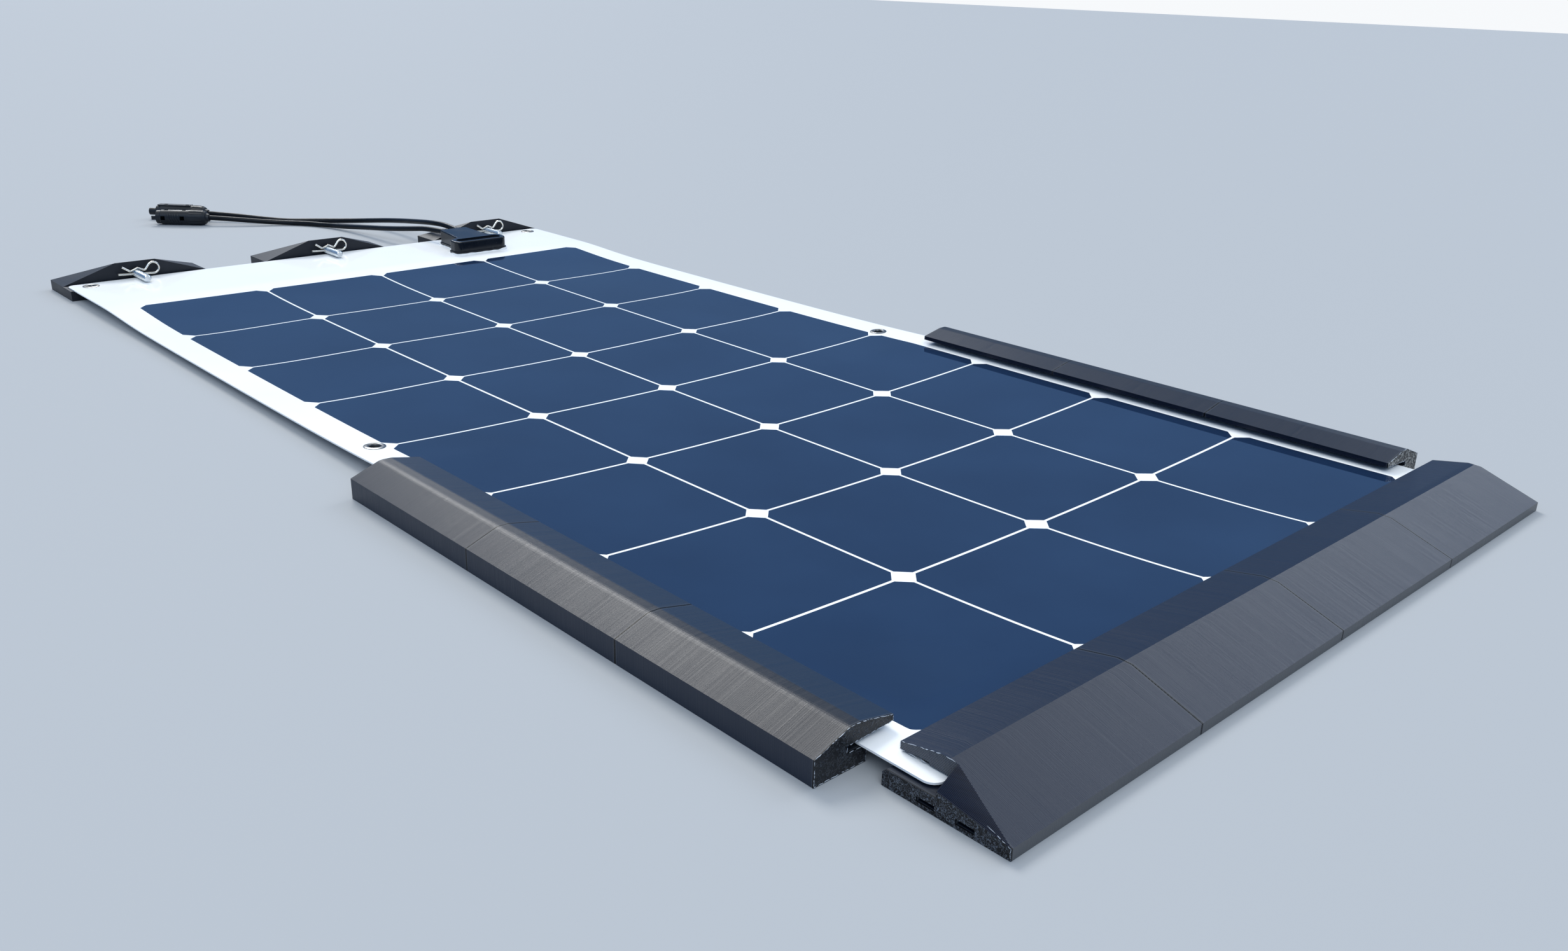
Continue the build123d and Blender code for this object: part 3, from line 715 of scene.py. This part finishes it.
def sag(x, y):
    """How far the sheet hangs below its flat place: a bowl, a dip at one corner, and slack edges."""
    if y <= HELD_NEAR or y >= HELD_FAR:
        return 0.0
    side = min(1.0, abs(x) / HELD_SIDE)
    near = 1 - math.exp(-(y - HELD_NEAR) / BOWL_NEAR_RISE)
    far = 1 - math.exp(-(HELD_FAR - y) / BOWL_FAR_RISE)
    loss = max(0.0, min(1.0, (y - BOWL_LOSS_FROM) / BOWL_LOSS_SPAN))
    low = (BOWL_DEPTH - BOWL_FAR_LOSS * loss) * (1 - side * side) * near * far

    from_dip = (x - CORNER_DIP[0]) ** 2 + (y - CORNER_DIP[1]) ** 2
    inward = min(
        1.0, (CORNER_SIDE - abs(x)) / CORNER_SIDE_FADE,
        (y - HELD_NEAR - CORNER_NEAR) / CORNER_NEAR_FADE,
    )
    low += CORNER_DEPTH * math.exp(-from_dip / (2 * CORNER_SPREAD ** 2)) * max(0.0, inward)

    if y > EDGE_FREE_FROM:
        from_rail = 1 - math.exp(-(y - EDGE_FREE_FROM) / EDGE_RAIL_FADE)
        from_bracket = 1 - math.exp(-(((HELD_FAR - y) / EDGE_BRACKET_FADE) ** 2))
        low += EDGE_DEPTH * from_rail * from_bracket * eased((abs(x) - EDGE_FROM) / EDGE_SPAN)
    return min(SAG_MOST, low)


def rounded_outline(corners, radii, steps=8):
    """Points of a closed polygon, each of whose corners is an arc of the radius given for it."""
    points = []
    count = len(corners)
    for i, (corner, radius) in enumerate(zip(corners, radii)):
        here = Vector(corner)
        to_last = (Vector(corners[i - 1]) - here).normalized()
        to_next = (Vector(corners[(i + 1) % count]) - here).normalized()
        half = to_last.angle(to_next) / 2
        centre = here + (to_last + to_next).normalized() * radius / math.sin(half)
        start = here + to_last * radius / math.tan(half) - centre
        end = here + to_next * radius / math.tan(half) - centre
        for k in range(steps + 1):
            spoke = start.lerp(end, k / steps)
            points.append(centre + spoke.normalized() * radius)
    return points


def sagging_plate(name, outlines, low, high, step):
    """Plates between two heights, cut into a grid and let down with the sheet."""
    bm = bmesh.new()
    for outline in outlines:
        face = bm.faces.new([bm.verts.new((x, y, high)) for x, y in outline])
        raised = bmesh.ops.extrude_face_region(bm, geom=[face])
        lowered = [item for item in raised["geom"] if isinstance(item, bmesh.types.BMVert)]
        bmesh.ops.translate(bm, verts=lowered, vec=(0, 0, low - high))
    for axis in (0, 1):
        span = SHEET_HIGH[axis] - SHEET_LOW[axis]
        cuts = int(span / step)
        normal = Vector((0, 0, 0))
        normal[axis] = 1
        for i in range(1, cuts):
            place = Vector((0, 0, 0))
            place[axis] = SHEET_LOW[axis] + span * i / cuts
            geometry = bm.verts[:] + bm.edges[:] + bm.faces[:]
            bmesh.ops.bisect_plane(bm, geom=geometry, plane_co=place, plane_no=normal, dist=1e-7)
    for vert in bm.verts:
        vert.co.z -= sag(vert.co.x, vert.co.y)
    return mesh_from(bm, name)


EYELET_LOW, EYELET_HIGH, _ = box_size("eyelet_tops")
WASHER_LOW = box_size("eyelet_washers")[0]
EYELET_FLANGE, EYELET_HOLE, EYELET_BARREL = 8 * MM, 4 * MM, 4.6 * MM
EYELET_SIDES = 56
EYELET_CUT_REACH = 4 * MM
EYELET_MIDDLE_Y = -43.75 * MM
EYELETS = [
    (x, y)
    for x in (EYELET_LOW.x + EYELET_FLANGE, EYELET_HIGH.x - EYELET_FLANGE)
    for y in (EYELET_LOW.y + EYELET_FLANGE, EYELET_MIDDLE_Y, EYELET_HIGH.y - EYELET_FLANGE)
]


def eyelet_seat(x, y):
    """How far the sheet has sunk at an eyelet, and the turn that lays the eyelet along it."""
    step = EYELET_FLANGE
    slope_x = (sag(x - step, y) - sag(x + step, y)) / (2 * step)
    slope_y = (sag(x, y - step) - sag(x, y + step)) / (2 * step)
    return sag(x, y), Vector((-slope_x, -slope_y, 1)).to_track_quat("Z", "Y").to_matrix()


def cell_outlines():
    """The octagon of every cell."""
    half = CELL_SIDE / 2
    nick = CELL_CORNER
    octagon = (
        (-half + nick, -half), (half - nick, -half), (half, -half + nick), (half, half - nick),
        (half - nick, half), (-half + nick, half), (-half, half - nick), (-half, -half + nick),
    )
    pitch_x = (CELL_SPAN.x - CELL_SIDE) / (CELL_COLUMNS - 1)
    pitch_y = (CELL_SPAN.y - CELL_SIDE) / (CELL_ROWS - 1)
    outlines = []
    for column in range(CELL_COLUMNS):
        for row in range(CELL_ROWS):
            centre = (CELL_LOW.x + half + column * pitch_x, CELL_LOW.y + half + row * pitch_y)
            outlines.append([(centre[0] + x, centre[1] + y) for x, y in octagon])
    return outlines


def add_laminate():
    """The white sheet with its eyelet holes, and the cells that show through its film."""
    corners = (
        (SHEET_LOW.x, SHEET_LOW.y), (SHEET_HIGH.x, SHEET_LOW.y),
        (SHEET_HIGH.x, SHEET_HIGH.y), (SHEET_LOW.x, SHEET_HIGH.y),
    )
    outline = rounded_outline(corners, [SHEET_CORNER] * 4)
    mesh = sagging_plate("laminate", [outline], SHEET_TOP - SHEET_THICKNESS, SHEET_TOP, SHEET_STEP)
    sheet = make_object("laminate", mesh, MATERIALS["backsheet_film"])
    for x, y in EYELETS:
        drop, tilt = eyelet_seat(x, y)
        middle = Vector((x, y, (SHEET_LOW.z + SHEET_TOP) / 2 - drop))
        along = tilt @ Vector((0, 0, EYELET_CUT_REACH))
        hole = cylinder("cutter", middle - along, middle + along, EYELET_BARREL)
        subtract(sheet, make_object("cutter", hole, MATERIALS["backsheet_film"]))
    sheet.data.polygons.foreach_set("use_smooth", [True] * len(sheet.data.polygons))
    sheet.data.set_sharp_from_angle(angle=math.radians(40))
    finish_piece(
        sheet, "backsheet_film", ROOT, "backsheet", "rear_encapsulant", "front_encapsulant",
        "front_film", "cell_interconnects", "bus_ribbons",
    )

    low, high = SHEET_TOP - CELL_DEPTH, SHEET_TOP + CELL_PROUD
    mesh = sagging_plate("cell_faces", cell_outlines(), low, high, SHEET_STEP)
    cells = make_object("cell_faces", mesh, MATERIALS["silicon_cell"], 40)
    finish_piece(cells, "silicon_cell", ROOT, "solar_cells")


add_laminate()


def add_eyelets():
    """Rolled eyelets, whose flanges are pressed into the sheet and lie as it lies."""
    top, low = EYELET_HIGH.z - SHEET_TOP, WASHER_LOW.z - SHEET_TOP
    under = SHEET_LOW.z - SHEET_TOP
    profile = (  # radius, and height above the sheet
        (EYELET_FLANGE, 0.0), (EYELET_FLANGE - 0.15 * MM, top * 0.45), (7.0 * MM, top * 0.8),
        (6.1 * MM, top), (5.2 * MM, top * 0.96), (4.45 * MM, top * 0.62), (4.1 * MM, top * 0.1),
        (EYELET_HOLE, -0.6 * MM), (EYELET_HOLE, low + 0.3 * MM), (4.3 * MM, low),
        (7.6 * MM, low), (EYELET_FLANGE, under),
    )
    for i, (x, y) in enumerate(EYELETS):
        drop, tilt = eyelet_seat(x, y)
        seat = Vector((x, y, SHEET_TOP - drop))
        bm = bmesh.new()
        rows = []
        for k in range(EYELET_SIDES):
            angle = 2 * math.pi * k / EYELET_SIDES
            spoke = Vector((math.cos(angle), math.sin(angle), 0))
            row = []
            for radius, z in profile:
                row.append(bm.verts.new(seat + tilt @ (spoke * radius + Vector((0, 0, z)))))
            rows.append(row)
        for k in range(EYELET_SIDES):
            here, there = rows[k], rows[(k + 1) % EYELET_SIDES]
            for j in range(len(profile)):
                m = (j + 1) % len(profile)
                bm.faces.new((here[j], there[j], there[m], here[m]))
        name = f"eyelet_{i + 1}"
        piece = make_object(name, mesh_from(bm, name), MATERIALS["eyelet_metal"], 40)
        finish_piece(piece, "eyelet_metal", ROOT, "eyelet_tops", "eyelet_washers")


add_eyelets()

# ------------------------------------------------------------------ bolts
THREAD_PITCH = 1.25 * MM
THREAD_DEPTH = 0.8 * MM
BOLT_RADIUS = 4 * MM
HEAD_HEIGHT = 5.3 * MM
HEAD_FLATS = 13 * MM
HEAD_SIDES = 48
THREAD_SIDES = 28
THREAD_STEPS = 8
TIP_BEVEL = 1.1 * MM
CROSS_HOLE_RADIUS = 1.25 * MM
CROSS_HOLE_REACH = 8 * MM
CROSS_HOLE_TILT = math.radians(3.5)


def around(centre_x, y, centre_z, angle, radius):
    """A point round an axis that runs along Y."""
    return Vector((centre_x + radius * math.cos(angle), y, centre_z + radius * math.sin(angle)))


def threaded_shank(name, centre_x, centre_z, tip_y, head_y):
    """A shank whose surface follows the thread's helix, with a bevelled tip."""
    rings = []
    count = int((head_y - tip_y) / THREAD_PITCH * THREAD_STEPS)
    for i in range(count + 1):
        y = tip_y + (head_y - tip_y) * i / count
        ring = []
        for k in range(THREAD_SIDES):
            angle = 2 * math.pi * k / THREAD_SIDES
            phase = ((y - tip_y) / THREAD_PITCH - k / THREAD_SIDES) % 1
            wave = max(0.0, min(1.0, 2.4 * abs(2 * phase - 1) - 0.7))
            radius = BOLT_RADIUS - THREAD_DEPTH * (1 - wave)
            radius = min(radius, BOLT_RADIUS - TIP_BEVEL + (y - tip_y))
            ring.append(around(centre_x, y, centre_z, angle, radius))
        rings.append(ring)
    return ring_mesh(name, rings)


def hexagon_head(name, centre_x, centre_z, head_y, back_y):
    """A hexagon head whose corners are bevelled at both ends."""
    half = HEAD_FLATS / 2
    corner = HEAD_FLATS / math.sqrt(3)
    rings = (
        (head_y, half * 0.99), (head_y + 0.3 * MM, corner),
        (back_y - 0.7 * MM, corner), (back_y, half * 0.97),
    )
    rows = []
    for y, limit in rings:
        row = []
        for k in range(HEAD_SIDES):
            angle = 2 * math.pi * k / HEAD_SIDES
            flat = half / math.cos((angle + math.pi / 6) % (math.pi / 3) - math.pi / 6)
            row.append(around(centre_x, y, centre_z, angle, min(flat, limit)))
        rows.append(row)
    return ring_mesh(name, rows)


def add_bolt(side):
    """A bolt in two pieces, its cross-drilled threaded shank and its head."""
    node = "bolt_" + side
    low, high, _ = box_size(node)
    centre_x = (low.x + high.x) / 2
    centre_z = (low.z + high.z) / 2
    head_y = high.y - HEAD_HEIGHT
    shank = threaded_shank(node + "_shank", centre_x, centre_z, low.y, head_y)
    piece = make_object(node + "_threaded", shank, MATERIALS["zinc_steel"], 35)
    clip_low, clip_high, _ = box_size("r_clip_" + side)
    hole_y = (clip_low.y + clip_high.y) / 2
    along = Vector((math.cos(CROSS_HOLE_TILT), 0, -math.sin(CROSS_HOLE_TILT))) * CROSS_HOLE_REACH
    middle = Vector((centre_x, hole_y, centre_z))
    hole = cylinder("cutter", middle - along, middle + along, CROSS_HOLE_RADIUS, 20)
    subtract(piece, make_object("cutter", hole, MATERIALS["zinc_steel"]))
    head = hexagon_head(node + "_head", centre_x, centre_z, head_y, high.y)
    head = make_object(node + "_head", head, MATERIALS["zinc_steel"], 25)
    finish_piece(piece, "zinc_steel", node + "_body", node)
    finish_piece(head, "zinc_steel", node + "_body", node)


for side in SIDES:
    add_bolt(side)

# ------------------------------------------------------------------ hip of the near rail
HIP_STEP = 0.475 * MM
HIP_RUN = 13.3 * MM
HIP_BASE = 6.1 * MM
HIP_DEPTH = 40.5 * MM
HIP_PROUD = 0.22 * MM
# How the hip's plane rises along the rail and across it, and how its front edge runs back
HIP_RISE_X, HIP_RISE_Y, HIP_EDGE = 0.5868, 0.1584, 3.014


def add_hip_steps():
    """The hip's sloping end is a stair of printed layers."""
    low = box_size("near_rail_1")[0]
    bm = bmesh.new()
    for i in range(int(HIP_RUN / HIP_STEP)):
        run = (i + 0.25) * HIP_STEP
        start = HIP_EDGE * run + 0.25 * MM
        rows = []
        for v in (start, HIP_DEPTH - 0.2 * MM):
            x, y, z = low.x + run, low.y + v, HIP_BASE + HIP_RISE_X * run + HIP_RISE_Y * v
            rows.append([
                bm.verts.new((x - 0.02 * MM, y, z - 0.25 * MM)),
                bm.verts.new((x - 0.02 * MM, y, z + HIP_PROUD)),
                bm.verts.new((x + 0.16 * MM, y, z + HIP_PROUD + 0.08 * MM)),
                bm.verts.new((x + 0.36 * MM, y, z - 0.1 * MM)),
            ])
        for k in range(4):
            j = (k + 1) % 4
            bm.faces.new((rows[0][k], rows[0][j], rows[1][j], rows[1][k]))
        bm.faces.new(list(reversed(rows[0])))
        bm.faces.new(rows[1])
    piece = make_object("near_rail_hip_steps", mesh_from(bm, "near_rail_hip_steps"), MATERIALS["hip"])
    finish_piece(piece, "printed_plastic", ROOT)


add_hip_steps()

# ------------------------------------------------------------------ plastic threads on the cut ends, pale as a painted highlight of the rims
RAIL_HALF_WIDTH = 308.5
LIP_START_X = -270.55 * MM
END_GAP = 0.05 * MM
# Places on the cut ends in millimetres: how far in from the outer edge, and how high
SIDE_PROFILE = (
    (0.2, 0.6), (0.2, 14.2), (21.5, 22.3), (29.5, 22.1), (50, 17.7), (50.1, 14.5), (28.3, 13.4),
    (20.3, 12.9), (20.3, 9.2), (32.8, 8.8), (32.8, 0.6), (0.2, 0.6),
)
LIP_PROFILE = ((41, 20.5), (49, 20.8), (72.8, 16), (72.8, 12.2), (58, 12.2))
BASE_PROFILE = ((0.4, 0.6), (0.4, 5.9), (13, 10.4))


def add_threads(name, routes, seed):
    """Short threads along the edges of a cut end, as the printer left them; their pale colour is a
    painted highlight of the bright rims.
    """
    draw = random.Random(seed)
    bm = bmesh.new()
    for route in routes:
        for a, b in zip(route, route[1:]):
            length = (b - a).length
            at = draw.uniform(0, 1.5) * MM
            while at < length:
                reach = min(length - at, draw.uniform(1.2, 5.5) * MM)
                if reach > 0.6 * MM:
                    points = []
                    for k in range(4):
                        wobble = Vector([draw.uniform(-0.16, 0.16) * MM for _ in range(3)])
                        points.append(a.lerp(b, (at + reach * k / 3) / length) + wobble)
                    tube_mesh(bm, points, draw.uniform(0.1, 0.24) * MM, 6)
                at += reach + draw.uniform(0.2, 2.2) * MM
    piece = make_object(name, mesh_from(bm, name), MATERIALS["stringing_rim_highlight"], 50)
    finish_piece(piece, "printed_plastic", ROOT)


def end_route(profile, side, y):
    """The outline of a side rail's near end."""
    return [Vector(((RAIL_HALF_WIDTH - u) * MM * side, y, z * MM)) for u, z in profile]


def add_all_threads():
    """Threads round the near ends of both side rails and of the near rail's lip and base."""
    near_y = box_size("left_rail_1")[0].y - END_GAP
    add_threads("left_rail_threads", [end_route(SIDE_PROFILE, -1, near_y)], 3)
    add_threads("right_rail_threads", [end_route(SIDE_PROFILE, 1, near_y)], 4)
    low = box_size("near_rail_1")[0]
    lip = [Vector((LIP_START_X, low.y + v * MM, z * MM)) for v, z in LIP_PROFILE]
    base = [Vector((low.x - END_GAP, low.y + v * MM, z * MM)) for v, z in BASE_PROFILE]
    add_threads("near_rail_threads", [lip, base], 6)


add_all_threads()

# ------------------------------------------------------------------ sealant round the junction box
BOX_LOW, BOX_HIGH, BOX_SIZE = box_size("junction_box_lid")
BOX_X = (BOX_LOW.x + BOX_HIGH.x) / 2
HEAD_HALF = BOX_SIZE.x / 2
NECK_HALF = 21 * MM
REAR_HALF = 17.5 * MM
BASE_LIP = 1.2 * MM
# Where the head ends and the neck begins, from the front, and the corners' radii
HEAD_DEPTH, NECK_DEPTH = 17 * MM, 23 * MM
FRONT_RADIUS, SHOULDER_RADIUS, REAR_RADIUS = 8 * MM, 4 * MM, 3 * MM
PILE_SPREAD = 7 * MM


def box_outline(grow):
    """The junction box's outline in plan, grown outward."""
    front, rear = BOX_LOW.y - grow, BOX_HIGH.y + grow
    head, neck, end = HEAD_HALF + grow, NECK_HALF + grow, REAR_HALF + grow
    head_y, neck_y = BOX_LOW.y + HEAD_DEPTH + grow, BOX_LOW.y + NECK_DEPTH + grow
    corners = (
        (BOX_X - head, front), (BOX_X + head, front), (BOX_X + head, head_y),
        (BOX_X + neck, neck_y), (BOX_X + end, rear), (BOX_X - end, rear),
        (BOX_X - neck, neck_y), (BOX_X - head, head_y),
    )
    radii = [FRONT_RADIUS + grow] * 2 + [SHOULDER_RADIUS] + [REAR_RADIUS] * 4 + [SHOULDER_RADIUS]
    return rounded_outline(corners, radii, 6)


def resampled(points, step):
    """Points evenly along a closed outline."""
    closed = points + [points[0]]
    out = []
    carried = 0.0
    for a, b in zip(closed, closed[1:]):
        length = (b - a).length
        while carried < length:
            out.append(a.lerp(b, carried / length))
            carried += step
        carried -= length
    return out


def wavering(weights, turn):
    """A sum of waves round the bead, each with a weight of its own."""
    waves = [weight * math.sin((3 + 4 * k) * turn + 2.1 * weight) for k, weight in enumerate(weights)]
    return sum(waves) / 2.2


def add_sealant():
    """A bead laid by hand: its width and height wander, and it is piled up at the right front."""
    draw = random.Random(5)
    path = resampled(box_outline(BASE_LIP), 1.1 * MM)
    count = len(path)
    wander = [[draw.uniform(-1, 1) for _ in range(6)] for _ in range(2)]
    pile = Vector((BOX_X + HEAD_HALF - 3 * MM, BOX_LOW.y))
    bm = bmesh.new()
    rows = []
    for i, point in enumerate(path):
        ahead = path[(i + 1) % count] - path[i - 1]
        outward = Vector((ahead.y, -ahead.x)).normalized()
        turn = 2 * math.pi * i / count
        waves = [wavering(weights, turn) for weights in wander]
        heap = math.exp(-((point - pile).length / PILE_SPREAD) ** 2)
        width = (1.5 + 0.35 * waves[0] + 0.6 * heap) * MM
        tall = (1.1 + 0.4 * waves[1] + 1.2 * heap) * MM
        row = []
        for k in range(9):
            angle = math.pi * k / 8
            reach = width * (1 - math.cos(angle)) / 2 - 0.6 * MM
            rise = tall * math.sin(angle) ** 0.75
            place = point + outward * reach
            row.append(bm.verts.new((place.x, place.y, SHEET_TOP - 0.1 * MM + rise)))
        rows.append(row)
    for i in range(count):
        here, there = rows[i], rows[(i + 1) % count]
        for k in range(8):
            bm.faces.new((here[k], there[k], there[k + 1], here[k + 1]))
        bm.faces.new((here[0], here[8], there[8], there[0]))
    piece = make_object("sealant_bead", mesh_from(bm, "sealant_bead"), MATERIALS["sealant"], 60)
    finish_piece(piece, "sealant", ROOT, "junction_box_sealant")


add_sealant()

# ------------------------------------------------------------------ connectors
# Where each one starts, its heading in degrees, and how far along its nut and its body end
CONNECTORS = {
    "plug": (LEFT_LEAD[-1], 139.5, 26, 66),
    "socket": (RIGHT_LEAD[-1], 133.5, 22, 68),
}
CHEEKS = (0, math.pi)
GRIP_RIBS = 5
NUT_FLUTES = 14


def on_connector(name, along, angle, radius):
    """A point on a connector: millimetres along its axis, an angle round it, and a radius."""
    start, heading, _, _ = CONNECTORS[name]
    axis = Vector((math.cos(math.radians(heading)), math.sin(math.radians(heading)), 0))
    sideways = Vector((-axis.y, axis.x, 0))
    up = Vector((0, 0, 1))
    spoke = sideways * math.cos(angle) + up * math.sin(angle)
    return mm(*start) + axis * along * MM + spoke * radius * MM


def add_to_connector(name, bm, material):
    """Turns a bmesh into a piece of the given material and hangs it on the root."""
    piece = make_object(name, mesh_from(bm, name), MATERIALS[material], 40)
    finish_piece(piece, "connector_plastic", ROOT)


def add_grips(name):
    """Slanting grip ribs on both cheeks of a connector."""
    _, _, nut, end = CONNECTORS[name]
    first, last = nut + 10.5, end - 17
    bm = bmesh.new()
    for cheek in CHEEKS:
        for i in range(GRIP_RIBS):
            middle = first + (last - first) * i / (GRIP_RIBS - 1)
            points = []
            for k in range(9):
                reach = math.radians(-38 + 76 * k / 8)
                lean = 4.2 * (k / 8 - 0.5) * (1 if cheek == 0 else -1)
                points.append(on_connector(name, middle + lean, cheek + reach, 9.2))
            tube_mesh(bm, points, 1.0 * MM)
    add_to_connector(name + "_grips", bm, "connector_plastic")


def add_window_shade(name):
    """Near-black plates in the latch windows, two on each cheek: painted shade inside the windows."""
    _, _, nut, end = CONNECTORS[name]
    corners = ((-2.7, 9.0), (-2.7, 9.36), (2.7, 9.36), (2.7, 9.0))
    bm = bmesh.new()
    for cheek in CHEEKS:
        for middle in (nut + 6, end - 9.5):
            rows = []
            for side, radius in corners:
                angles = [cheek + math.radians(lean) for lean in range(-16, 17, 4)]
                rows.append([
                    bm.verts.new(on_connector(name, middle + side, angle, radius)) for angle in angles
                ])
            for k in range(len(angles) - 1):
                for here, there in zip(rows, rows[1:] + rows[:1]):
                    bm.faces.new((here[k], here[k + 1], there[k + 1], there[k]))
            bm.faces.new([row[0] for row in rows])
            bm.faces.new([row[-1] for row in reversed(rows)])
    # The plates take the shadow material: painted shade
    add_to_connector(name + "_windows", bm, "shadow")


def add_flutes(name):
    """Flutes round the cap nut, apart from its underside."""
    _, _, nut, _ = CONNECTORS[name]
    bm = bmesh.new()
    for i in range(NUT_FLUTES):
        angle = 2 * math.pi * (i + 0.5) / NUT_FLUTES
        if math.sin(angle) < -0.93:
            continue
        points = []
        for along in (7.5, 9, nut - 4, nut - 2):
            radius = 9.15 + 0.4 * (along - 7) / (nut - 7)
            points.append(on_connector(name, along, angle, radius))
        tube_mesh(bm, points, 0.5 * MM)
    add_to_connector(name + "_nut_flutes", bm, "connector_plastic")


for name in CONNECTORS:
    add_grips(name)
    add_window_shade(name)
    add_flutes(name)
